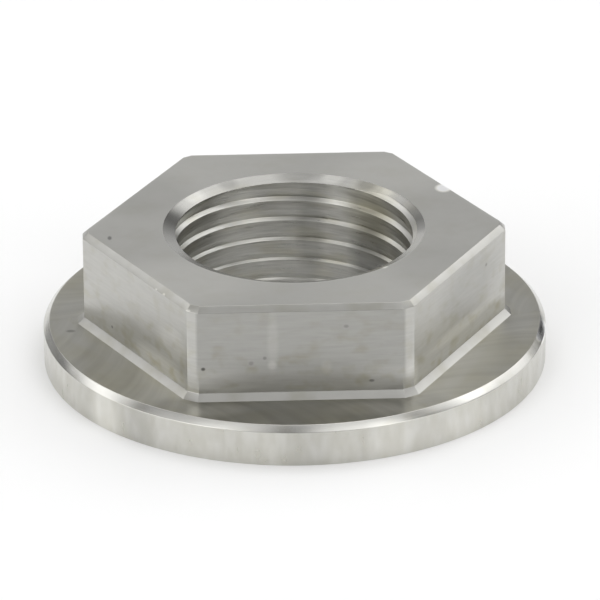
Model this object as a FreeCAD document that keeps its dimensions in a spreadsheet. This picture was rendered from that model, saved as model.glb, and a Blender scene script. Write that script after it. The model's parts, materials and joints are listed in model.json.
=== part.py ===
import FreeCAD, Part
import math
import os
import Sketcher

# A flanged hex nut turned and milled from one blank, in millimetres.
# The origin is the centre of the underside and +Z runs up the bore, so the
# flange is at the bottom, the hexagon on top and one wrench flat faces -Y.

os.makedirs("parts", exist_ok=True)

# ---------------------------------------------------------------- sizes
DRIVING_SIZES = [
    # round flange
    ("flange_diameter", 28.5),
    ("flange_thickness", 2.35),
    ("rim_chamfer", 0.33),
    # hexagon
    ("across_flats", 21.0),
    ("hex_height", 5.55),
    ("corner_chamfer", 0.41),
    ("hex_top_chamfer", 0.31),
    ("foot_chamfer", 0.36),
    # threaded bore, M14 x 1.25 cut in a hole bored large, so its crest is wide
    ("thread_diameter", 14.0),
    ("thread_pitch", 1.25),
    ("thread_phase", 0.19),
    ("bore_diameter", 13.4),
    ("groove_overcut", 0.1),
    ("countersink_diameter", 14.8),
    ("countersink_depth", 0.27),
]

# The bore is cut in equal sectors, so that the thread's crest is left as many
# short faces and no face winds more than once round the axis.
BORE_SECTORS = 8

# Sizes that follow from the driving ones, written as sheet expressions.
TOTAL_HEIGHT = "(Sizes.flange_thickness + Sizes.hex_height)"
MAJOR_RADIUS = "(Sizes.thread_diameter / 2)"
MINOR_RADIUS = "(Sizes.bore_diameter / 2)"
MOUTH_RADIUS = "(Sizes.countersink_diameter / 2)"
THREAD_DEPTH = f"({MAJOR_RADIUS} - {MINOR_RADIUS})"


def make_sheet(doc):
    """Put every driving size on one sheet, each under its own alias."""
    sheet = doc.addObject("Spreadsheet::Sheet", "Sizes")
    for row, (alias, value) in enumerate(DRIVING_SIZES, start=1):
        sheet.set(f"A{row}", alias)
        sheet.set(f"B{row}", str(value))
        sheet.setAlias(f"B{row}", alias)
    doc.recompute()
    return sheet


def origin_feature(body, role):
    """The body's own origin plane or axis with this role."""
    for feature in body.Origin.OriginFeatures:
        if feature.Role == role:
            return feature
    raise ValueError(f"the body has no {role}")


def new_sketch(body, name, support, offset=None):
    """A sketch flat on a plane, lifted by an expression when one is given."""
    sketch = body.newObject("Sketcher::SketchObject", name)
    sketch.AttachmentSupport = [(support, "")]
    sketch.MapMode = "FlatFace"
    if offset:
        sketch.setExpression(".AttachmentOffset.Base.z", offset)
    return sketch


def bind(sketch, constraint, expression):
    """Add a size constraint and drive it from the sheet."""
    index = sketch.addConstraint(constraint)
    sketch.setExpression(f"Constraints[{index}]", expression)


def draw_closed_loop(sketch, points):
    """Join the points with lines into one closed loop."""
    count = len(points)
    for start in range(count):
        end = (start + 1) % count
        sketch.addGeometry(Part.LineSegment(points[start], points[end]), False)
    for line in range(count):
        following = (line + 1) % count
        sketch.addConstraint(Sketcher.Constraint("Coincident", line, 2, following, 1))


# ---------------------------------------------------------------- features
def pad_flange(doc, body, sheet):
    """The round flange, a plain disc on the underside plane."""
    sketch = new_sketch(body, "flange_outline", origin_feature(body, "XY_Plane"))
    radius = sheet.flange_diameter / 2
    sketch.addGeometry(Part.Circle(FreeCAD.Vector(0, 0, 0), FreeCAD.Vector(0, 0, 1), radius), False)
    sketch.addConstraint(Sketcher.Constraint("Coincident", 0, 3, -1, 1))
    bind(sketch, Sketcher.Constraint("Diameter", 0, 2 * radius), "Sizes.flange_diameter")
    pad = body.newObject("PartDesign::Pad", "flange_disc")
    pad.Profile = sketch
    pad.setExpression("Length", "Sizes.flange_thickness")
    doc.recompute()
    return pad


def pad_hexagon(doc, body, sheet):
    """The hexagon, standing on the flange with a flat towards -Y."""
    sketch = new_sketch(body, "hexagon_outline", origin_feature(body, "XY_Plane"), "Sizes.flange_thickness")
    corner_radius = sheet.across_flats / math.sqrt(3)
    corners = []
    for step in range(6):
        angle = math.radians(60 * step)
        corners.append(FreeCAD.Vector(corner_radius * math.cos(angle), corner_radius * math.sin(angle), 0))
    draw_closed_loop(sketch, corners)
    circle = sketch.addGeometry(
        Part.Circle(FreeCAD.Vector(0, 0, 0), FreeCAD.Vector(0, 0, 1), corner_radius), True)
    sketch.addConstraint(Sketcher.Constraint("Coincident", circle, 3, -1, 1))
    for line in range(6):
        sketch.addConstraint(Sketcher.Constraint("PointOnObject", line, 1, circle))
    for line in range(1, 6):
        sketch.addConstraint(Sketcher.Constraint("Equal", 0, line))
    sketch.addConstraint(Sketcher.Constraint("PointOnObject", 0, 1, -1))
    bind(sketch, Sketcher.Constraint("Radius", circle, corner_radius), "Sizes.across_flats / sqrt(3)")
    pad = body.newObject("PartDesign::Pad", "hexagon")
    pad.Profile = sketch
    pad.setExpression("Length", "Sizes.hex_height")
    doc.recompute()
    return pad


def chamfer_edges(doc, body, base, name, expression, chosen):
    """Chamfer the edges of the last feature that pass the test."""
    names = []
    for number, edge in enumerate(base.Shape.Edges, start=1):
        if chosen(edge):
            names.append(f"Edge{number}")
    chamfer = body.newObject("PartDesign::Chamfer", name)
    chamfer.Base = (base, names)
    chamfer.setExpression("Size", expression)
    doc.recompute()
    return chamfer, len(names)


def at_height(edge, height):
    """True when the whole edge lies at this height."""
    box = edge.BoundBox
    return abs(box.ZMin - height) < 1e-6 and abs(box.ZMax - height) < 1e-6


def reach(edge):
    """The edge's middle measured from the bore's axis."""
    middle = edge.valueAt((edge.FirstParameter + edge.LastParameter) / 2)
    return math.hypot(middle.x, middle.y)


def chamfer_hexagon(doc, body, sheet, base):
    """Flatten the six corners, then break the top edge and leave the foot."""
    flange_top = sheet.flange_thickness
    hex_top = flange_top + sheet.hex_height
    hex_reach = sheet.across_flats / math.sqrt(3) + 0.01

    def is_corner(edge):
        return edge.BoundBox.ZLength > sheet.hex_height - 0.01

    def is_top_edge(edge):
        return at_height(edge, hex_top)

    def is_foot_edge(edge):
        return at_height(edge, flange_top) and reach(edge) < hex_reach

    corners, corner_count = chamfer_edges(
        doc, body, base, "corner_flats", "Sizes.corner_chamfer", is_corner)
    top, top_count = chamfer_edges(
        doc, body, corners, "hexagon_top_edge", "Sizes.hex_top_chamfer", is_top_edge)
    foot, foot_count = chamfer_edges(
        doc, body, top, "hexagon_foot", "Sizes.foot_chamfer", is_foot_edge)
    if (corner_count, top_count, foot_count) != (6, 12, 12):
        raise ValueError("the hexagon's edges were not all found")
    return foot


def chamfer_rim(doc, body, sheet, base):
    """Chamfer the flange's upper edge."""
    radius = sheet.flange_diameter / 2

    def is_rim(edge):
        return at_height(edge, sheet.flange_thickness) and reach(edge) > radius - 0.01

    rim, count = chamfer_edges(doc, body, base, "rim_edge", "Sizes.rim_chamfer", is_rim)
    if count != 1:
        raise ValueError("the flange's upper edge was not found")
    return rim


def cut_bore(doc, body, sheet):
    """The bore that the thread's crest is left by, countersunk at both ends."""
    sketch = new_sketch(body, "bore_profile", origin_feature(body, "XZ_Plane"))
    mouth = sheet.countersink_diameter / 2
    minor = sheet.bore_diameter / 2
    depth = sheet.countersink_depth
    height = sheet.flange_thickness + sheet.hex_height
    points = [
        FreeCAD.Vector(0, 0, 0),
        FreeCAD.Vector(mouth, 0, 0),
        FreeCAD.Vector(minor, depth, 0),
        FreeCAD.Vector(minor, height - depth, 0),
        FreeCAD.Vector(mouth, height, 0),
        FreeCAD.Vector(0, height, 0),
    ]
    draw_closed_loop(sketch, points)
    sketch.addConstraint(Sketcher.Constraint("Coincident", 0, 1, -1, 1))
    sketch.addConstraint(Sketcher.Constraint("Horizontal", 0))
    sketch.addConstraint(Sketcher.Constraint("Vertical", 2))
    sketch.addConstraint(Sketcher.Constraint("Horizontal", 4))
    sketch.addConstraint(Sketcher.Constraint("Vertical", 5))
    bind(sketch, Sketcher.Constraint("DistanceX", 0, 1, 0, 2, mouth), MOUTH_RADIUS)
    bind(sketch, Sketcher.Constraint("DistanceX", 4, 2, 4, 1, mouth), MOUTH_RADIUS)
    bind(sketch, Sketcher.Constraint("DistanceX", 0, 1, 1, 2, minor), MINOR_RADIUS)
    bind(sketch, Sketcher.Constraint("DistanceY", 1, 1, 1, 2, depth), "Sizes.countersink_depth")
    bind(sketch, Sketcher.Constraint("DistanceY", 3, 1, 3, 2, depth), "Sizes.countersink_depth")
    bind(sketch, Sketcher.Constraint("DistanceY", 0, 1, 5, 1, height), TOTAL_HEIGHT)
    axis = (origin_feature(body, "Z_Axis"), [""])
    sector = body.newObject("PartDesign::Groove", "bore_sector")
    sector.Profile = sketch
    sector.ReferenceAxis = axis
    sector.Angle = 360 / BORE_SECTORS
    sector.Refine = False
    doc.recompute()
    bore = body.newObject("PartDesign::PolarPattern", "bore")
    bore.Originals = [sector]
    bore.Axis = axis
    bore.Angle = 360
    bore.Occurrences = BORE_SECTORS
    bore.Refine = False
    body.Tip = bore
    doc.recompute()
    return bore


def cut_thread(doc, body, sheet):
    """The right-hand 60 degree thread groove, run out through both ends."""
    sketch = new_sketch(body, "thread_profile", origin_feature(body, "XZ_Plane"))
    pitch = sheet.thread_pitch
    overcut = sheet.groove_overcut
    major = sheet.thread_diameter / 2
    mouth = sheet.bore_diameter / 2 - overcut
    half_root = pitch / 16
    half_mouth = half_root + (major - mouth) / math.sqrt(3)
    middle = sheet.thread_phase - 2 * pitch
    points = [
        FreeCAD.Vector(mouth, middle - half_mouth, 0),
        FreeCAD.Vector(major, middle - half_root, 0),
        FreeCAD.Vector(major, middle + half_root, 0),
        FreeCAD.Vector(mouth, middle + half_mouth, 0),
    ]
    draw_closed_loop(sketch, points)
    mouth_radius = f"({MINOR_RADIUS} - Sizes.groove_overcut)"
    half_mouth_width = f"(Sizes.thread_pitch / 16 + ({THREAD_DEPTH} + Sizes.groove_overcut) / sqrt(3))"
    below = "(2 * Sizes.thread_pitch - Sizes.thread_phase)"
    sketch.addConstraint(Sketcher.Constraint("Vertical", 1))
    sketch.addConstraint(Sketcher.Constraint("Vertical", 3))
    bind(sketch, Sketcher.Constraint("DistanceX", -1, 1, 0, 2, major), MAJOR_RADIUS)
    bind(sketch, Sketcher.Constraint("DistanceX", -1, 1, 0, 1, mouth), mouth_radius)
    bind(sketch, Sketcher.Constraint("DistanceY", 0, 1, -1, 1, half_mouth - middle),
         f"{below} + {half_mouth_width}")
    bind(sketch, Sketcher.Constraint("DistanceY", 0, 1, 2, 2, 2 * half_mouth), f"2 * {half_mouth_width}")
    bind(sketch, Sketcher.Constraint("DistanceY", 0, 2, -1, 1, half_root - middle),
         f"{below} + Sizes.thread_pitch / 16")
    bind(sketch, Sketcher.Constraint("DistanceY", 0, 2, 1, 2, 2 * half_root), "Sizes.thread_pitch / 8")
    helix = body.newObject("PartDesign::SubtractiveHelix", "thread")
    helix.Profile = sketch
    helix.ReferenceAxis = (origin_feature(body, "Z_Axis"), [""])
    helix.Mode = "pitch-height-angle"
    helix.Refine = False
    helix.LeftHanded = False
    helix.Reversed = False
    helix.setExpression("Pitch", "Sizes.thread_pitch")
    helix.setExpression("Height", f"{TOTAL_HEIGHT} + 3 * Sizes.thread_pitch")
    doc.recompute()
    return helix


def make_flange_nut(doc, sheet):
    """The whole nut as one body, because the real one is one piece of metal."""
    body = doc.addObject("PartDesign::Body", "flange_nut")
    body.Label = "flange_nut"
    pad_flange(doc, body, sheet)
    hexagon = pad_hexagon(doc, body, sheet)
    foot = chamfer_hexagon(doc, body, sheet, hexagon)
    blank = chamfer_rim(doc, body, sheet, foot)
    bored = cut_bore(doc, body, sheet)
    if bored.Shape.Volume > blank.Shape.Volume - 100:
        raise ValueError("the bore cut nothing")
    threaded = cut_thread(doc, body, sheet)
    if threaded.Shape.Volume > bored.Shape.Volume - 10:
        raise ValueError("the thread cut nothing")
    body.Placement = FreeCAD.Placement(FreeCAD.Vector(0, 0, 0), FreeCAD.Rotation())
    return body


def check_and_write(doc, bodies):
    """Refuse a broken feature or shape, then write one STEP file per body."""
    doc.recompute()
    for item in doc.Objects:
        for bad in ("Invalid", "Error"):
            if bad in item.State:
                raise ValueError(f"{item.Name} is in state {item.State}")
    for body in bodies:
        if body.Shape.isNull() or not body.Shape.isValid() or len(body.Shape.Solids) != 1:
            raise ValueError(f"{body.Label} is not one valid solid")
        body.Shape.exportStep(f"parts/{body.Label}.step")
        print(body.Label, "volume", round(body.Shape.Volume, 3), "box", body.Shape.BoundBox)


document = FreeCAD.newDocument("flange_nut_model")
sizes = make_sheet(document)
check_and_write(document, [make_flange_nut(document, sizes)])
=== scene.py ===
import bpy
import json
import math
from mathutils import Matrix, Vector


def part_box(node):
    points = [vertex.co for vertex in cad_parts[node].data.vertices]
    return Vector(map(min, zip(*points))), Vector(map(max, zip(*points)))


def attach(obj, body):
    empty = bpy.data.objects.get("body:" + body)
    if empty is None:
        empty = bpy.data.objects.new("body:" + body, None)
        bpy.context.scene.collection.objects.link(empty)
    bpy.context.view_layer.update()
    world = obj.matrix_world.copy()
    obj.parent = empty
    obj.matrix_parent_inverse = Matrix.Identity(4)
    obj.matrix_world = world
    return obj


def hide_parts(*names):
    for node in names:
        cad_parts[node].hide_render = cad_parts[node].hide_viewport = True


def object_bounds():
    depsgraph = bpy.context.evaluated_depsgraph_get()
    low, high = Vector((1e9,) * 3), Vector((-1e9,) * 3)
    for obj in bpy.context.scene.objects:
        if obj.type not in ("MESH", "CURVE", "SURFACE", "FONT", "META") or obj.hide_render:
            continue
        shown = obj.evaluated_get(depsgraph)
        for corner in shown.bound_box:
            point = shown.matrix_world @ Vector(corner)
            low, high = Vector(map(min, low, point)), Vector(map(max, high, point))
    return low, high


# A flanged hex nut of bare machined steel on a plain white floor.
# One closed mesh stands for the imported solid. It has the same faces and sizes, and
# edges that are slightly broken. Its thread is a real helix of the same pitch, hand,
# crest and lower edges, with grooves of its own shape that get shallower downward.
# Each kind of cut surface has its own material.

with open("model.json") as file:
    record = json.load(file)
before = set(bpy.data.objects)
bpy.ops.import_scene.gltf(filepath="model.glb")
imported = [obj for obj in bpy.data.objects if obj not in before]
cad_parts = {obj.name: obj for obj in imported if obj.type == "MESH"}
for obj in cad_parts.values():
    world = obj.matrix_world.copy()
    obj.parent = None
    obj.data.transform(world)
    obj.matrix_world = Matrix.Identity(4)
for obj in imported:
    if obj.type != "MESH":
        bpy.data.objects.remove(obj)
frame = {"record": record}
cad_low, cad_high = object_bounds()


def mount(name):
    """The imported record's mount of this name."""
    for entry in frame["record"]["mounts"]:
        if entry["name"] == name:
            return entry
    raise ValueError(f"the record has no mount named {name}")


# ---------------------------------------------------------------- sizes, in metres
MM = 0.001
low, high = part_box("flange_nut")
TOTAL_HEIGHT = high.z - low.z
FLANGE_RADIUS = (high.x - low.x) / 2
HALF_FLATS = abs(mount("wrench_flat_front")["pos_m"][1])

FLANGE_TOP = 2.35 * MM
RIM_CHAMFER = 0.33 * MM
CORNER_CHAMFER = 0.41 * MM
TOP_CHAMFER = 0.31 * MM
FOOT_CHAMFER = 0.36 * MM
HALF_CORNERS = HALF_FLATS / math.cos(math.radians(30)) - CORNER_CHAMFER / 2

PITCH = 1.25 * MM
MAJOR_RADIUS = 7.0 * MM
MINOR_RADIUS = mount("thread")["dims"]["r_mm"] * MM
THREAD_DEPTH = MAJOR_RADIUS - MINOR_RADIUS
HALF_ROOT = PITCH / 16
FLANK_RISE = THREAD_DEPTH / math.sqrt(3)
GROOVE_RETURN = PITCH * 0.55
LOWEST_GROOVE_SHARE = 0.3
THREAD_PHASE = 0.19 * MM
COUNTERSINK_RADIUS = 7.4 * MM
COUNTERSINK_DEPTH = 0.27 * MM

# Broken edges have these small radii, each an arc of EDGE_STEPS parts. Flat faces keep
# a plain margin beside them. Sides longer than LONG_SIDE have FLAT_STEPS parts, and
# circles have AROUND.
EDGE_RADIUS = 0.04 * MM
RIM_RADIUS = 0.06 * MM
THREAD_EDGE_RADIUS = 0.025 * MM
MARGIN = 0.35 * MM
EDGE_STEPS = 3
LONG_SIDE = 2 * MM
FLAT_STEPS = 24
AROUND = 288


# ---------------------------------------------------------------- outlines
def point_at(angle, distance):
    """The point this far from the axis, in the direction of the angle."""
    return Vector((math.cos(angle) * distance, math.sin(angle) * distance))


def crossing(angle_a, distance_a, angle_b, distance_b):
    """Where two sides cross, each given by its normal's angle and its distance."""
    spread = math.sin(angle_b - angle_a)
    x = (distance_a * math.sin(angle_b) - distance_b * math.sin(angle_a)) / spread
    y = (distance_b * math.cos(angle_a) - distance_a * math.cos(angle_b)) / spread
    return Vector((x, y))


def hexagon_ring(outset, z):
    """The hexagon with its corners cut flat, as a ring of points. The six flats
    and the six corners all move out by outset, and each edge is rounded."""
    ring = []
    for step in range(12):
        angle_a = math.radians(30 * step)
        angle_b = math.radians(30 * (step + 1))
        reach_a, reach_b = (HALF_CORNERS, HALF_FLATS) if step % 2 == 0 else (HALF_FLATS, HALF_CORNERS)
        inset = outset - EDGE_RADIUS
        centre = crossing(angle_a, reach_a + inset, angle_b, reach_b + inset)
        for part in range(EDGE_STEPS + 1):
            angle = angle_a + (angle_b - angle_a) * part / EDGE_STEPS
            ring.append(centre + point_at(angle, EDGE_RADIUS))
    return divided(ring, z)


def divided(ring, z):
    """The closed ring at height z, with its long sides divided evenly."""
    points = []
    for start, end in zip(ring, ring[1:] + ring[:1]):
        parts = FLAT_STEPS if (end - start).length > LONG_SIDE else 1
        for part in range(parts):
            point = start.lerp(end, part / parts)
            points.append((point.x, point.y, z))
    return points


def circle_ring(radius, z):
    """A ring of points round the axis."""
    ring = []
    for step in range(AROUND):
        point = point_at(2 * math.pi * step / AROUND, radius)
        ring.append((point.x, point.y, z))
    return ring


def rounded(profile, radius):
    """The open profile with each inner corner turned into a small arc, as pairs
    of a point and the number of the segment that starts there."""
    points = [(Vector(profile[0]), 0)]
    for number in range(1, len(profile) - 1):
        corner = Vector(profile[number])
        back = (Vector(profile[number - 1]) - corner).normalized()
        onward = (Vector(profile[number + 1]) - corner).normalized()
        half_angle = back.angle(onward) / 2
        centre = corner + (back + onward).normalized() * radius / math.sin(half_angle)
        start = (corner + back * radius / math.tan(half_angle) - centre).normalized()
        end = (corner + onward * radius / math.tan(half_angle) - centre).normalized()
        for part in range(EDGE_STEPS + 1):
            segment = number - 1 if part < EDGE_STEPS / 2 else number
            points.append((centre + start.slerp(end, part / EDGE_STEPS) * radius, segment))
    points.append((Vector(profile[-1]), len(profile) - 2))
    return points


# ---------------------------------------------------------------- mesh
ZONES = [
    "top_face",
    "hex_flat",
    "hex_edge",
    "foot",
    "flange_top",
    "rim",
    "rim_chamfer",
    "countersink",
    "thread",
    "underside",
]


class Shell:
    """Points and faces collected zone by zone. A face may carry its own chart,
    the coordinates in metres that its surface pattern follows."""

    def __init__(self):
        self.points = []
        self.faces = []
        self.zones = []
        self.charts = []

    def add_ring(self, ring):
        first = len(self.points)
        self.points.extend(ring)
        return list(range(first, first + len(ring)))

    def add_face(self, corners, zone, chart=None):
        self.faces.append(tuple(corners))
        self.zones.append(ZONES.index(zone))
        self.charts.append(chart)

    def loft(self, ring_a, ring_b, zone):
        """Quads from one ring to the next one of the same count."""
        for here in range(len(ring_a)):
            there = (here + 1) % len(ring_a)
            self.add_face((ring_a[here], ring_a[there], ring_b[there], ring_b[here]), zone)

    def sweep(self, make_ring, profile, radius, zones):
        """Loft a rounded profile of (distance, height) round the axis. There is
        one zone for each segment. Returns the first and the last ring."""
        points = rounded(profile, radius)
        rings = [self.add_ring(make_ring(point.x, point.y)) for point, _ in points]
        for number in range(len(rings) - 1):
            self.loft(rings[number], rings[number + 1], zones[points[number][1]])
        return rings[0], rings[-1]

    def by_angle(self, ring):
        """The ring from its smallest angle on, closed, with its angles."""
        angles = []
        for index in ring:
            x, y, _ = self.points[index]
            angles.append(math.atan2(y, x) % (2 * math.pi))
        start = angles.index(min(angles))
        order = ring[start:] + ring[:start]
        turned = angles[start:] + angles[:start]
        return order + order[:1], turned + [turned[0] + 2 * math.pi]

    def fill_band(self, inner, outer, zone):
        """Triangles facing up over the flat band between two unlike rings."""
        inner_order, inner_angles = self.by_angle(inner)
        outer_order, outer_angles = self.by_angle(outer)
        here = 0
        there = 0
        while here < len(inner) or there < len(outer):
            if there == len(outer):
                inner_next = True
            else:
                inner_next = here < len(inner) and inner_angles[here + 1] < outer_angles[there + 1]
            if inner_next:
                self.add_face((inner_order[here], outer_order[there], inner_order[here + 1]), zone)
                here += 1
            else:
                self.add_face((inner_order[here], outer_order[there], outer_order[there + 1]), zone)
                there += 1


# ---------------------------------------------------------------- thread
def thread_profile():
    """One groove from its lower edge up, as (rise, depth behind the crest). The
    lower flank is steep, and the upper side comes back slowly to the crest."""
    corners = [
        (-MARGIN, 0.0),
        (0.0, 0.0),
        (FLANK_RISE, THREAD_DEPTH),
        (FLANK_RISE + GROOVE_RETURN, 0.0),
        (FLANK_RISE + GROOVE_RETURN + MARGIN, 0.0),
    ]
    profile = [tuple(point) for point, _ in rounded(corners, THREAD_EDGE_RADIUS)]
    return profile[1:-1]


PROFILE = thread_profile()

# The groove's turns start this far below the nut and end as far above it.
FIRST_TURN = -2
TURNS = round(TOTAL_HEIGHT / PITCH) - 2 * FIRST_TURN

# How many times the search for a countersink's end halves its range.
HALVINGS = 30


def groove_height(angle, turn):
    """The height of the groove's lower edge at this angle and turn, on a right-hand helix."""
    return THREAD_PHASE - FLANK_RISE - HALF_ROOT + PITCH * (angle / (2 * math.pi) + turn)


def groove_size(height):
    """The groove's share of its full size, which it has at the nut's top."""
    share = min(max(height / TOTAL_HEIGHT, 0.0), 1.0)
    return LOWEST_GROOVE_SHARE + (1 - LOWEST_GROOVE_SHARE) * share


def wall_at(angle):
    """The thread's wall at this angle as (height, radius), from below the nut to above it."""
    wall = []
    for turn in range(FIRST_TURN, FIRST_TURN + TURNS):
        edge = groove_height(angle, turn)
        size = groove_size(edge)
        for rise, depth in PROFILE:
            wall.append((edge + rise * size, MINOR_RADIUS + depth * size))
    return wall


def radius_at(wall, height):
    """The wall's radius at this height."""
    for (height_a, radius_a), (height_b, radius_b) in zip(wall, wall[1:]):
        if height <= height_b:
            return radius_a + (radius_b - radius_a) * (height - height_a) / (height_b - height_a)
    return MINOR_RADIUS


def countersink_end(wall, end, inward):
    """The height where the countersink from this end runs out into the wall."""
    shallow = 0.0
    deep = COUNTERSINK_DEPTH
    for _ in range(HALVINGS):
        depth = (shallow + deep) / 2
        cone = COUNTERSINK_RADIUS - (COUNTERSINK_RADIUS - MINOR_RADIUS) * depth / COUNTERSINK_DEPTH
        if cone > radius_at(wall, end + inward * depth):
            shallow = depth
        else:
            deep = depth
    return end + inward * deep


def thread_column(shell, angle):
    """The wall's points at one angle, all those beyond a countersink being one
    point on its edge."""
    wall = wall_at(angle)
    bottom = countersink_end(wall, 0.0, 1)
    top = countersink_end(wall, TOTAL_HEIGHT, -1)
    column = []
    last_height = None
    for height, radius in wall:
        if not bottom < height < top:
            height = bottom if height <= bottom else top
            radius = radius_at(wall, height)
        if height != last_height:
            point = point_at(angle, radius)
            shell.points.append((point.x, point.y, height))
            last_height = height
        column.append(len(shell.points) - 1)
    return column


def add_thread(shell):
    """The threaded wall, a grid whose rows follow the helix. After one turn a
    row joins the row one pitch above it. Returns its top and bottom rings."""
    columns = [thread_column(shell, 2 * math.pi * step / AROUND) for step in range(AROUND)]
    last_row = len(columns[0]) - 1
    for step in range(AROUND):
        here = columns[step]
        there = columns[(step + 1) % AROUND]
        lift = len(PROFILE) if step == AROUND - 1 else 0
        for row in range(last_row):
            next_row = min(row + lift, last_row)
            next_above = min(row + lift + 1, last_row)
            corners = {}
            square = ((here[row + 1], 0), (there[next_above], 1), (there[next_row], 1), (here[row], 0))
            for index, side in square:
                corners.setdefault(index, side)
            if len(corners) < 3:
                continue
            turn = row // len(PROFILE) + FIRST_TURN
            chart = []
            for index, side in corners.items():
                angle = 2 * math.pi * (step + side) / AROUND
                along = MINOR_RADIUS * (angle + 2 * math.pi * turn)
                chart.append((along, shell.points[index][2] - groove_height(angle, turn)))
            shell.add_face(corners, "thread", chart)
    return [column[-1] for column in columns], [column[0] for column in columns]


# ---------------------------------------------------------------- the nut
def add_flange(shell):
    """The flange's lower edge, wall, upper chamfer and the edge of its top."""
    chamfer_foot = FLANGE_TOP - RIM_CHAMFER
    chamfer_top = FLANGE_RADIUS - RIM_CHAMFER
    profile = [
        (FLANGE_RADIUS - MARGIN, 0.0),
        (FLANGE_RADIUS, 0.0),
        (FLANGE_RADIUS, chamfer_foot),
        (chamfer_top, FLANGE_TOP),
        (chamfer_top - MARGIN, FLANGE_TOP),
    ]
    return shell.sweep(circle_ring, profile, RIM_RADIUS, ["underside", "rim", "rim_chamfer", "flange_top"])


def add_hexagon(shell):
    """The hexagon's foot, sides and top chamfer, with the flat margins beside them."""
    profile = [
        (FOOT_CHAMFER + MARGIN, FLANGE_TOP),
        (FOOT_CHAMFER, FLANGE_TOP),
        (0.0, FLANGE_TOP + FOOT_CHAMFER),
        (0.0, TOTAL_HEIGHT - TOP_CHAMFER),
        (-TOP_CHAMFER, TOTAL_HEIGHT),
        (-TOP_CHAMFER - MARGIN, TOTAL_HEIGHT),
    ]
    zones = ["flange_top", "foot", "hex_flat", "hex_edge", "top_face"]
    return shell.sweep(hexagon_ring, profile, EDGE_RADIUS, zones)


def add_bore(shell):
    """The thread between its two countersinks. Returns the upper and lower mouth."""
    thread_top, thread_bottom = add_thread(shell)
    mouth = COUNTERSINK_RADIUS
    cone = Vector((MINOR_RADIUS - mouth, COUNTERSINK_DEPTH)).normalized() * 2 * EDGE_RADIUS
    upper = [(mouth + MARGIN, TOTAL_HEIGHT), (mouth, TOTAL_HEIGHT), (mouth + cone.x, TOTAL_HEIGHT - cone.y)]
    lower = [(mouth + cone.x, cone.y), (mouth, 0.0), (mouth + MARGIN, 0.0)]
    upper_mouth, upper_cone = shell.sweep(circle_ring, upper, EDGE_RADIUS, ["top_face", "countersink"])
    lower_cone, lower_mouth = shell.sweep(circle_ring, lower, EDGE_RADIUS, ["countersink", "underside"])
    shell.loft(upper_cone, thread_top, "countersink")
    shell.loft(thread_bottom, lower_cone, "countersink")
    return upper_mouth, lower_mouth


def side_chart(points):
    """Chart coordinates on the flange's top: along the nearest flat, and out from it."""
    middle = sum((Vector(p) for p in points), Vector((0, 0, 0))) / len(points)
    side = round((math.degrees(math.atan2(middle.y, middle.x)) - 30) / 60)
    facing = point_at(math.radians(60 * side + 30), 1)
    return [(facing.x * y - facing.y * x, facing.x * x + facing.y * y - HALF_FLATS) for x, y, _ in points]


def make_nut(materials):
    """The whole nut as one closed mesh with a material for each zone."""
    shell = Shell()
    under_edge, flange_edge = add_flange(shell)
    foot_edge, top_edge = add_hexagon(shell)
    upper_mouth, lower_mouth = add_bore(shell)
    shell.fill_band(foot_edge, flange_edge, "flange_top")
    shell.fill_band(upper_mouth, top_edge, "top_face")
    shell.loft(lower_mouth, under_edge, "underside")

    mesh = bpy.data.meshes.new("machined_nut")
    mesh.from_pydata(shell.points, [], shell.faces)
    for zone in ZONES:
        mesh.materials.append(materials[zone])
    chart_layer = mesh.uv_layers.new(name="chart")
    for polygon, zone, chart in zip(mesh.polygons, shell.zones, shell.charts):
        polygon.material_index = zone
        polygon.use_smooth = True
        points = [shell.points[index] for index in polygon.vertices]
        for loop, place in zip(polygon.loop_indices, chart or side_chart(points)):
            chart_layer.data[loop].uv = place
    mark_countersink_edges(mesh)
    mesh.validate()
    nut = bpy.data.objects.new("machined_nut", mesh)
    bpy.context.scene.collection.objects.link(nut)
    shading = nut.modifiers.new("even_shading", "WEIGHTED_NORMAL")
    shading.keep_sharp = True
    return nut


def mark_countersink_edges(mesh):
    """Keep the edge between thread and countersink sharp."""
    thread = ZONES.index("thread")
    touching = {}
    for polygon in mesh.polygons:
        for key in polygon.edge_keys:
            touching.setdefault(key, set()).add(polygon.material_index == thread)
    for edge in mesh.edges:
        if len(touching.get(edge.key, ())) == 2:
            edge.use_edge_sharp = True


# ---------------------------------------------------------------- shader helpers
def add(tree, kind, settings=None, inputs=None):
    """A new node with its settings made and its inputs set or linked."""
    made = tree.nodes.new(kind)
    for name, value in (settings or {}).items():
        setattr(made, name, value)
    for name, value in (inputs or {}).items():
        if isinstance(value, bpy.types.NodeSocket):
            tree.links.new(value, made.inputs[name])
        else:
            made.inputs[name].default_value = value
    return made


def maths(tree, operation, a, b=0.0):
    """One maths operation on sockets or numbers."""
    return add(tree, "ShaderNodeMath", {"operation": operation}, {0: a, 1: b}).outputs[0]


def in_millimetres(tree, place):
    """A place in metres, turned into millimetres."""
    return add(tree, "ShaderNodeVectorMath", {"operation": "SCALE"}, {0: place, "Scale": 1 / MM}).outputs[0]


def millimetres(tree):
    """The point on the surface, in millimetres."""
    return in_millimetres(tree, add(tree, "ShaderNodeTexCoord").outputs["Object"])


def chart_millimetres(tree):
    """The point in its face's own chart, in millimetres."""
    return in_millimetres(tree, add(tree, "ShaderNodeUVMap", {"uv_map": "chart"}).outputs[0])


def grain(tree, place, per_mm, detail=2.0, shift=0.0):
    """Noise from 0 to 1 with its own fineness along each axis."""
    moved = add(tree, "ShaderNodeMapping", None, {
        "Vector": place,
        "Location": (shift, shift, shift),
        "Scale": per_mm,
    })
    noise = add(tree, "ShaderNodeTexNoise", None, {
        "Vector": moved.outputs[0],
        "Scale": 1.0,
        "Detail": detail,
    })
    return noise.outputs["Fac"]


def length(tree, vector):
    """The vector's length."""
    return add(tree, "ShaderNodeVectorMath", {"operation": "LENGTH"}, {0: vector}).outputs["Value"]


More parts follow.
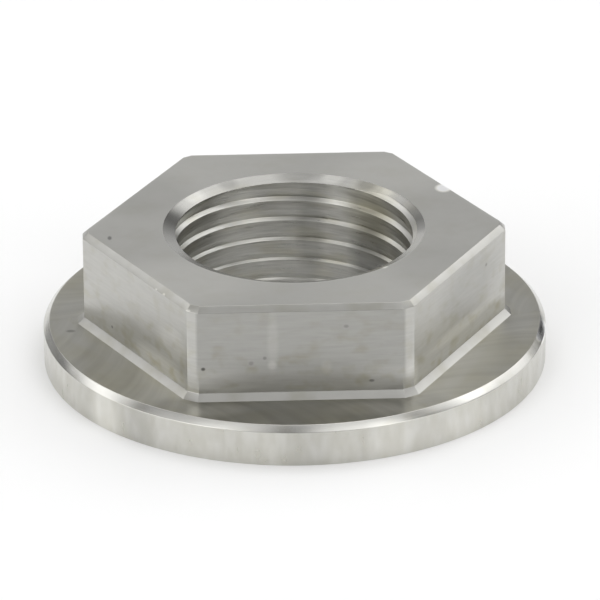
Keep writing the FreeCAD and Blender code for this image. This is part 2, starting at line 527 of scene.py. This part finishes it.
def between(tree, value, low_value, high_value, low_result, high_result):
    """The value carried from one range to another, and held at its ends."""
    node = add(tree, "ShaderNodeMapRange", None, {
        "Value": value,
        "From Min": low_value,
        "From Max": high_value,
        "To Min": low_result,
        "To Max": high_result,
    })
    return node.outputs[0]


# ---------------------------------------------------------------- bare steel
STEEL = (0.585, 0.58, 0.55)
STAINED = (0.50, 0.48, 0.385)

# A mark has its full strength out to the first share of its half-size, and none beyond
# the last. A stain fades from a little nearer its middle.
MARK_CORE = 0.5
STAIN_CORE = 0.4
FADED_OUT = 1.1

# A quarter turn from the tangent, so that highlights spread across the grain.
ACROSS_GRAIN = 0.25

# Small marks on the nut: place and half-size along X, Y and Z in mm, then how many
# times brighter or darker the steel is there. A brighter mark is a painted highlight
# where a nick or a rub catches the light; a darker one is a pit.
TOP_MARKS_AND_GLINTS = [
    ((8.7, 4.9, 7.9), (0.48, 0.6, 0.6), 2.5),
    ((4.8, -5.5, 7.9), (0.25, 0.3, 0.4), 1.8),
    ((-10.4, -1.0, 7.9), (0.14, 0.3, 0.3), 0.45),
]
FLAT_MARKS_AND_GLINTS = [
    ((-1.55, -10.5, 5.8), (0.35, 0.5, 2.1), 1.12),
    ((-1.6, -10.5, 4.35), (0.3, 0.5, 0.3), 1.2),
    ((1.4, -10.5, 4.2), (0.35, 0.5, 0.45), 1.15),
    ((-5.4, -10.5, 4.2), (0.14, 0.5, 0.12), 0.3),
    ((-2.75, -10.5, 4.5), (0.16, 0.5, 0.14), 0.75),
    ((-2.0, -10.5, 4.8), (0.12, 0.5, 0.12), 0.7),
    ((2.5, -10.5, 6.65), (0.16, 0.5, 0.12), 0.75),
    ((3.9, -10.5, 3.3), (0.18, 0.5, 0.1), 0.5),
    ((-10.35, -3.05, 3.35), (0.12, 0.12, 0.1), 0.45),
    ((10.7, -2.45, 6.45), (0.14, 0.14, 0.12), 0.65),
]
EDGE_GLINTS = [
    ((-7.9, -7.3, 7.55), (0.14, 0.14, 0.14), 1.5),
    ((-7.5, -8.0, 7.6), (0.14, 0.14, 0.14), 1.5),
    ((-6.2, -10.2, 7.6), (0.18, 0.18, 0.14), 1.6),
]
FLANGE_MARKS = [
    ((-12.7, -1.4, 2.35), (0.3, 0.2, 0.4), 0.6),
]

# Broad soft areas in the same form: painted reflections, patches of painted highlight
# and painted shade in the steel's colour. They bring the tones that the camera sees
# nearer to the real nut's, where the lights alone didn't. Part of what they correct is
# reflected light and not the steel.
FLAT_PAINTED_REFLECTIONS = [
    ((9.3, -5.25, 3.95), (4.6, 4.6, 0.45), 1.2),
    ((9.8, -4.4, 6.0), (3.4, 4.4, 2.0), 0.84),
    ((-7.7, -7.65, 3.1), (2.6, 3.2, 0.9), 1.4),
    ((-7.0, -8.8, 4.9), (1.8, 1.9, 1.1), 1.22),
    ((6.2, -10.2, 3.4), (0.6, 0.6, 1.4), 1.2),
]
EDGE_PAINTED_REFLECTIONS = [
    ((0.0, -10.4, 7.7), (8.0, 0.6, 0.6), 0.88),
]
FLANGE_PAINTED_REFLECTIONS = [
    ((-4.6, -11.9, 2.35), (1.6, 0.9, 0.4), 1.28),
    ((3.6, -12.1, 2.35), (2.4, 0.9, 0.4), 1.25),
    ((-7.0, -11.3, 2.35), (1.8, 1.2, 0.4), 0.8),
    ((6.8, -11.3, 2.35), (1.6, 1.2, 0.4), 0.86),
]
TOP_PAINTED_REFLECTIONS = [
    ((-6.5, -7.0, 7.9), (5.5, 3.5, 1.0), 1.13),
    ((-8.2, 4.8, 7.9), (3.2, 3.5, 1.0), 0.89),
    ((6.0, 7.2, 7.9), (4.5, 3.5, 1.0), 1.12),
    ((7.6, -5.4, 7.9), (3.2, 3.5, 1.0), 0.9),
]
RIM_PAINTED_REFLECTIONS = [
    ((-10.9, -9.2, 1.0), (1.3, 1.3, 2.0), 1.22),
    ((-8.9, -11.0, 1.0), (1.2, 1.2, 2.0), 0.88),
    ((0.0, -14.2, 1.0), (1.6, 1.0, 2.0), 0.93),
    ((4.9, -13.4, 1.0), (1.6, 1.6, 2.0), 1.15),
    ((9.2, -10.9, 1.0), (1.7, 1.7, 2.0), 1.17),
    ((13.1, -4.8, 2.2), (0.8, 0.8, 0.4), 0.8),
    ((13.8, -2.3, 2.2), (1.2, 1.4, 0.4), 3.4),
]
COUNTERSINK_PAINTED_REFLECTIONS = [
    ((7.2, 0.3, 7.8), (0.8, 1.3, 0.5), 0.68),
    ((6.2, 3.6, 7.8), (0.6, 0.8, 0.5), 0.88),
    ((5.5, 4.7, 7.8), (0.5, 0.5, 0.5), 1.2),
    ((4.4, 5.75, 7.8), (0.75, 0.7, 0.5), 0.72),
    ((2.5, 6.8, 7.8), (0.8, 0.6, 0.5), 1.25),
    ((0.5, 7.2, 7.8), (1.5, 0.6, 0.5), 0.75),
    ((-3.6, 6.3, 7.8), (0.7, 0.7, 0.5), 0.78),
    ((-5.6, 4.7, 7.8), (0.8, 0.8, 0.5), 1.2),
]
THREAD_PAINTED_REFLECTIONS = [
    ((4.6, 5.1, 3.6), (1.5, 1.5, 2.8), 0.62),
    ((1.2, 6.7, 4.5), (0.9, 0.8, 3.6), 0.8),
    ((-3.4, 6.0, 6.0), (1.9, 1.3, 3.0), 1.15),
    ((2.9, 6.2, 7.0), (0.9, 0.9, 1.5), 1.2),
]

# Olive stain: place and half-size along X, Y and Z in mm, then the share at its middle.
BORE_STAINS = [
    ((4.9, 5.2, 6.3), (2.0, 2.0, 2.8), 0.75),
]


def steel(name, build, tone_and_painted_light, anisotropy, marks_and_painted_light=(), stains=()):
    """Bare steel. build(tree) gives four sockets: the stain's share, brightness,
    roughness and relief in mm. The grain runs round the axis on every face. The
    whole material is made brighter or darker by its tone, which is partly its finish
    and partly painted light and shade. Marks, painted glints, painted reflections and
    stains lie over it."""
    material = bpy.data.materials.new(name)
    material.use_nodes = True
    tree = material.node_tree
    tree.nodes.clear()
    stain, brightness, roughness, relief = build(tree)
    for place, half_size, share in stains:
        distance = away(tree, place, half_size)
        stain = maths(tree, "MAXIMUM", stain, between(tree, distance, STAIN_CORE, FADED_OUT, share, 0.0))
    colour = add(tree, "ShaderNodeMix", {"data_type": "RGBA"}, {
        "Factor": stain,
        "A": tuple(tone_and_painted_light * part for part in STEEL) + (1.0,),
        "B": tuple(tone_and_painted_light * part for part in STAINED) + (1.0,),
    })
    # Marks and painted light: painted glints, painted reflections and pits scale the brightness.
    for place, half_size, strength in marks_and_painted_light:
        change = between(tree, away(tree, place, half_size), MARK_CORE, FADED_OUT, strength, 1.0)
        brightness = maths(tree, "MULTIPLY", brightness, change)
    lit = add(tree, "ShaderNodeVectorMath", {"operation": "SCALE"}, {
        0: colour.outputs["Result"],
        "Scale": brightness,
    })
    bump = add(tree, "ShaderNodeBump", None, {"Strength": 1.0, "Distance": MM, "Height": relief})
    tangent = add(tree, "ShaderNodeTangent", {"direction_type": "RADIAL", "axis": "Z"})
    shader = add(tree, "ShaderNodeBsdfPrincipled", None, {
        "Base Color": lit.outputs[0],
        "Metallic": 1.0,
        "Roughness": roughness,
        "Anisotropic": anisotropy,
        "Anisotropic Rotation": ACROSS_GRAIN,
        "Normal": bump.outputs[0],
        "Tangent": tangent.outputs[0],
    })
    output = add(tree, "ShaderNodeOutputMaterial")
    tree.links.new(shader.outputs[0], output.inputs["Surface"])
    return material


def away(tree, place, half_size):
    """How far the surface is from a place in mm, in half-sizes of what lies there."""
    offset = add(tree, "ShaderNodeVectorMath", {"operation": "SUBTRACT"}, {0: millimetres(tree), 1: place})
    scaled = add(tree, "ShaderNodeVectorMath", {"operation": "DIVIDE"}, {0: offset.outputs[0], 1: half_size})
    return length(tree, scaled.outputs[0])


# ---------------------------------------------------------------- materials
def faced(tree):
    """A faced surface: even, with very fine rings round the axis."""
    place = millimetres(tree)
    level = add(tree, "ShaderNodeVectorMath", {"operation": "MULTIPLY"}, {0: place, 1: (1, 1, 0)})
    across = add(tree, "ShaderNodeCombineXYZ", None, {"X": length(tree, level.outputs[0])}).outputs[0]
    rings = grain(tree, across, (8, 0, 0))
    cloud = grain(tree, place, (0.5, 0.5, 0.5), 4)
    stain = between(tree, cloud, 0.5, 0.75, 0.0, 0.15)
    brightness = between(tree, cloud, 0.3, 0.7, 1.03, 0.97)
    roughness = between(tree, cloud, 0.3, 0.7, 0.36, 0.42)
    return stain, brightness, roughness, maths(tree, "MULTIPLY", rings, 0.003)


# Heights in mm between which a flat's stains thin out, and its painted reflection by the foot ends.
STAIN_FROM = 3.0
STAIN_THINNED = 6.5
FOOT_REFLECTION_FROM = 3.0
FOOT_REFLECTION_ENDS = 4.4
# The front flat, which has painted shade, is told from the other faces by Y, in mm, close to the flat
# itself.
FRONT_FULL = 0.02 - HALF_FLATS / MM
FRONT_NONE = 0.1 - HALF_FLATS / MM


def milled(tree):
    """A milled flat: level streaks, small stains that gather low down, and a painted
    reflection that makes it brighter next to the foot. The flat that faces -Y has
    painted shade above that, which makes it darker."""
    place = millimetres(tree)
    streaks = grain(tree, place, (0.7, 0.7, 7.0), 4)
    spots = grain(tree, place, (1.1, 1.1, 1.5), 1.5, 7)
    split = add(tree, "ShaderNodeSeparateXYZ", None, {0: place})
    height = split.outputs["Z"]
    low_down = between(tree, height, STAIN_FROM, STAIN_THINNED, 1.0, 0.4)
    above_foot_reflection = between(tree, height, FOOT_REFLECTION_FROM, FOOT_REFLECTION_ENDS, 0.0, 1.0)
    front = between(tree, split.outputs["Y"], FRONT_FULL, FRONT_NONE, 1.0, 0.0)
    # Painted reflection: the flat is brighter next to the foot.
    foot_painted_reflection = between(tree, above_foot_reflection, 0.0, 1.0, 1.2, 1.0)
    # Painted shade: the front flat is darker above that.
    front_painted_shade = between(tree, maths(tree, "MULTIPLY", front, above_foot_reflection), 0.0, 1.0, 1.0, 0.75)
    stain = maths(tree, "MULTIPLY", between(tree, spots, 0.5, 0.75, 0.0, 0.8), low_down)
    dulled = between(tree, stain, 0.0, 1.0, 1.0, 0.95)
    streaked = maths(tree, "MULTIPLY", between(tree, streaks, 0.3, 0.7, 0.95, 1.05), front_painted_shade)
    brightness = maths(tree, "MULTIPLY", maths(tree, "MULTIPLY", streaked, foot_painted_reflection), dulled)
    roughness = between(tree, streaks, 0.3, 0.7, 0.29, 0.33)
    return stain, brightness, roughness, maths(tree, "MULTIPLY", streaks, 0.001)


def cut_edge(tree):
    """A chamfer or the foot: a smoother tool pass, with faint streaks along it."""
    place = millimetres(tree)
    streaks = grain(tree, place, (0.8, 0.8, 8))
    cloud = grain(tree, place, (0.6, 0.6, 0.6))
    stain = between(tree, cloud, 0.5, 0.75, 0.0, 0.4)
    brightness = between(tree, cloud, 0.3, 0.7, 1.05, 0.95)
    roughness = between(tree, streaks, 0.3, 0.7, 0.28, 0.34)
    return stain, brightness, roughness, maths(tree, "MULTIPLY", streaks, 0.001)


# The end mill's radius in mm, and how far its arcs' circle reaches past it.
MILL_RADIUS = 6.2
MILL_MARGIN = 1.0


def swirled(tree):
    """The flange's top: arcs left by the end mill along each side, over an olive cast."""
    chart = chart_millimetres(tree)
    split = add(tree, "ShaderNodeSeparateXYZ", None, {0: chart})
    along = split.outputs["X"]
    out = split.outputs["Y"]
    reach = maths(tree, "SUBTRACT", out, MILL_RADIUS)
    circle = (MILL_RADIUS + MILL_MARGIN) ** 2
    inside = maths(tree, "SUBTRACT", circle, maths(tree, "MULTIPLY", reach, reach))
    behind = maths(tree, "SQRT", maths(tree, "MAXIMUM", inside, 0.01))
    centre = maths(tree, "SUBTRACT", along, behind)
    arcs_at = add(tree, "ShaderNodeCombineXYZ", None, {"X": centre, "Y": out}).outputs[0]
    arcs = grain(tree, arcs_at, (1.6, 0.08, 0), 3)
    cloud = grain(tree, chart, (0.3, 0.45, 0), 2, 3)
    stain = between(tree, cloud, 0.35, 0.65, 0.25, 0.8)
    brightness = between(tree, arcs, 0.35, 0.7, 0.94, 1.1)
    roughness = between(tree, arcs, 0.3, 0.7, 0.3, 0.4)
    return stain, brightness, roughness, maths(tree, "MULTIPLY", arcs, 0.014)


def turned(tree):
    """A turned wall: fine lines round it, under broad soft patches."""
    place = millimetres(tree)
    lines = grain(tree, place, (0.25, 0.25, 9), 1)
    patches = grain(tree, place, (0.3, 0.3, 0.15), 0, 5)
    smears = grain(tree, place, (1.4, 1.4, 0.6), 2, 11)
    stain = between(tree, smears, 0.3, 0.7, 0.02, 0.3)
    broad = between(tree, patches, 0.3, 0.7, 0.95, 1.05)
    brightness = maths(tree, "MULTIPLY", broad, between(tree, smears, 0.3, 0.7, 1.04, 0.95))
    roughness = between(tree, smears, 0.3, 0.7, 0.2, 0.28)
    return stain, brightness, roughness, maths(tree, "MULTIPLY", lines, 0.002)


def bright_cut(tree):
    """A narrow chamfer left bright by one sharp pass."""
    place = millimetres(tree)
    lines = grain(tree, place, (0.3, 0.3, 12))
    cloud = grain(tree, place, (0.5, 0.5, 0.5))
    stain = between(tree, cloud, 0.5, 0.75, 0.0, 0.4)
    brightness = between(tree, cloud, 0.3, 0.7, 1.04, 0.96)
    roughness = between(tree, lines, 0.3, 0.7, 0.16, 0.22)
    return stain, brightness, roughness, maths(tree, "MULTIPLY", lines, 0.002)


def threaded(tree):
    """Tapped thread: streaks along the helix, a few stains, and a painted highlight on the lower flanks.
    Its chart has the way along the helix as X and the height over the groove's edge as Y."""
    chart = chart_millimetres(tree)
    flank_top = FLANK_RISE / MM
    streaks = grain(tree, chart, (0.5, 7, 0), 4)
    spots = grain(tree, chart, (0.35, 1.2, 0), 2, 9)
    stain = between(tree, spots, 0.5, 0.7, 0.0, 0.5)
    above_edge = add(tree, "ShaderNodeSeparateXYZ", None, {0: chart}).outputs["Y"]
    # Painted highlight: the lower flank is brighter than the rest of the groove.
    flank_painted_highlight = between(tree, above_edge, flank_top, flank_top * 1.2, 1.2, 1.0)
    brightness = maths(tree, "MULTIPLY", between(tree, streaks, 0.3, 0.7, 0.85, 1.15), flank_painted_highlight)
    roughness = between(tree, streaks, 0.3, 0.7, 0.26, 0.36)
    return stain, brightness, roughness, maths(tree, "MULTIPLY", streaks, 0.004)


def make_materials():
    """One material for each zone of the mesh."""
    edge_marks_and_painted_light = EDGE_GLINTS + EDGE_PAINTED_REFLECTIONS + TOP_MARKS_AND_GLINTS
    mouth_marks_and_painted_light = TOP_MARKS_AND_GLINTS + COUNTERSINK_PAINTED_REFLECTIONS
    # The third value is each material's tone: partly its cut's own finish, partly painted light and shade
    # that makes a whole zone lighter or darker.
    return {
        "top_face": steel("faced_top", faced, 0.83, 0.5, TOP_MARKS_AND_GLINTS + TOP_PAINTED_REFLECTIONS),
        "hex_flat": steel("milled_flat", milled, 0.86, 0.2, FLAT_MARKS_AND_GLINTS + FLAT_PAINTED_REFLECTIONS),
        "hex_edge": steel("milled_edge", cut_edge, 0.87, 0.3, edge_marks_and_painted_light),
        "foot": steel("milled_foot", cut_edge, 0.83, 0.3),
        "flange_top": steel("swirl_milled", swirled, 0.68, 0.5, FLANGE_MARKS + FLANGE_PAINTED_REFLECTIONS),
        "rim": steel("turned_rim", turned, 1.04, 0.6, RIM_PAINTED_REFLECTIONS),
        "rim_chamfer": steel("turned_chamfer", bright_cut, 1.04, 0.8, RIM_PAINTED_REFLECTIONS),
        "countersink": steel("turned_countersink", bright_cut, 0.6, 0.85, mouth_marks_and_painted_light, BORE_STAINS),
        "thread": steel("tapped_thread", threaded, 0.9, 0.75, THREAD_PAINTED_REFLECTIONS, BORE_STAINS),
        "underside": steel("faced_underside", faced, 0.83, 0.5),
    }


# ---------------------------------------------------------------- studio
FLOOR_HALF_WIDTH = 0.9
FLOOR_WHITE = 0.97
# The floor is this far above the nut's lowest face, so that the face shows from below.
FLOOR_LIFT = 0.02 * MM


def make_floor():
    """A wide pale floor under the nut."""
    half = FLOOR_HALF_WIDTH
    corners = [(-half, -half, 0), (half, -half, 0), (half, half, 0), (-half, half, 0)]
    mesh = bpy.data.meshes.new("floor")
    mesh.from_pydata(corners, [], [(0, 1, 2, 3)])
    floor = bpy.data.objects.new("floor", mesh)
    floor.location.z = cad_low.z + FLOOR_LIFT
    bpy.context.scene.collection.objects.link(floor)
    material = bpy.data.materials.new("white_paper")
    material.use_nodes = True
    shader = material.node_tree.nodes["Principled BSDF"]
    shader.inputs["Base Color"].default_value = (FLOOR_WHITE, FLOOR_WHITE, FLOOR_WHITE, 1)
    shader.inputs["Roughness"].default_value = 0.9
    shader.inputs["Specular IOR Level"].default_value = 0.1
    mesh.materials.append(material)


def direction(azimuth, elevation):
    """The direction at this azimuth, counted from +X towards +Y, and elevation, in degrees."""
    level = point_at(math.radians(azimuth), math.cos(math.radians(elevation)))
    return Vector((level.x, level.y, math.sin(math.radians(elevation))))


# Soft panels all round the room, and one below the floor that lights the underside:
# azimuth, elevation and spread in degrees, then radiance. Most of the radiances come
# from a fit made outside this script, and were then rounded.
PANELS = [
    (90, 8, 32, 0.85),
    (120, 8, 32, 0.35),
    (180, 8, 32, 1.3),
    (210, 8, 32, 1.3),
    (330, 8, 32, 0.9),
    (270, 18, 30, 0.45),
    (30, 28, 32, 1.3),
    (150, 27, 14, 0.7),
    (163, 36, 16, 1.05),
    (228, 28, 24, 1.4),
    (312, 28, 24, 1.5),
    (5, 43, 18, 1.15),
    (50, 48, 32, 0.45),
    (62, 46, 18, 1.5),
    (118, 46, 18, 0.9),
    (130, 48, 32, 0.8),
    (210, 48, 32, 0.7),
    (240, 50, 24, 0.55),
    (300, 50, 24, 1.3),
    (335, 54, 18, 0.5),
    (90, 66, 18, 0.9),
    (30, 70, 24, 0.85),
    (90, 90, 30, 0.8),
    (0, -90, 80, 1.6),
]


def make_world():
    """A dark room with soft white panels in it. Where panels overlap, they add up."""
    world = bpy.data.worlds.new("studio")
    bpy.context.scene.world = world
    world.use_nodes = True
    tree = world.node_tree
    tree.nodes.clear()
    towards = add(tree, "ShaderNodeTexCoord").outputs["Generated"]
    total = 0.0
    for azimuth, elevation, spread, radiance in PANELS:
        aim = add(tree, "ShaderNodeVectorMath", {"operation": "DOT_PRODUCT"}, {
            0: towards,
            1: direction(azimuth, elevation),
        })
        edge = math.cos(math.radians(spread))
        glow = add(tree, "ShaderNodeMapRange", {"interpolation_type": "SMOOTHSTEP"}, {
            "Value": aim.outputs["Value"],
            "From Min": edge,
            "From Max": 1.0,
            "To Min": 0.0,
            "To Max": radiance,
        })
        total = maths(tree, "ADD", total, glow.outputs[0])
    background = add(tree, "ShaderNodeBackground", None, {"Color": (1, 1, 1, 1), "Strength": total})
    output = add(tree, "ShaderNodeOutputWorld")
    tree.links.new(background.outputs[0], output.inputs["Surface"])


# ---------------------------------------------------------------- camera
# These come from a fit of this camera to the nut's edges, made outside this script.
CAMERA_DISTANCE = 357.6 * MM
CAMERA_LENS = 378.05
CAMERA_ELEVATION = math.radians(25.458)
CAMERA_PITCH = math.radians(25.315)
CAMERA_YAW = math.radians(0.0554)
CAMERA_ROLL = math.radians(-0.38)
CAMERA_TURN = math.radians(-1.84)


def make_camera():
    """A long lens from the front, aimed a little off the middle of the flange's top."""
    data = bpy.data.cameras.new("camera")
    data.sensor_width = 36
    data.lens = CAMERA_LENS
    data.clip_start = 0.01
    data.clip_end = 10
    camera = bpy.data.objects.new("camera", data)
    place = Vector((0, -math.cos(CAMERA_ELEVATION), math.sin(CAMERA_ELEVATION))) * CAMERA_DISTANCE
    forward = Vector((
        math.sin(CAMERA_YAW) * math.cos(CAMERA_PITCH),
        math.cos(CAMERA_YAW) * math.cos(CAMERA_PITCH),
        -math.sin(CAMERA_PITCH),
    ))
    level = Vector((math.cos(CAMERA_YAW), -math.sin(CAMERA_YAW), 0))
    upright = level.cross(forward)
    right = level * math.cos(CAMERA_ROLL) + upright * math.sin(CAMERA_ROLL)
    up = upright * math.cos(CAMERA_ROLL) - level * math.sin(CAMERA_ROLL)
    axes = Matrix((right, up, -forward)).transposed().to_4x4()
    seen_from = Matrix.Rotation(CAMERA_TURN, 4, "Z")
    camera.matrix_world = (
        Matrix.Translation((0, 0, FLANGE_TOP)) @ seen_from @ Matrix.Translation(place) @ axes)
    bpy.context.scene.collection.objects.link(camera)
    bpy.context.scene.camera = camera


# ---------------------------------------------------------------- scene
nut = make_nut(make_materials())
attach(nut, "root")
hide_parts("flange_nut")
make_floor()
make_world()
make_camera()
bpy.context.scene.view_settings.view_transform = "Standard"

bpy.context.view_layer.update()
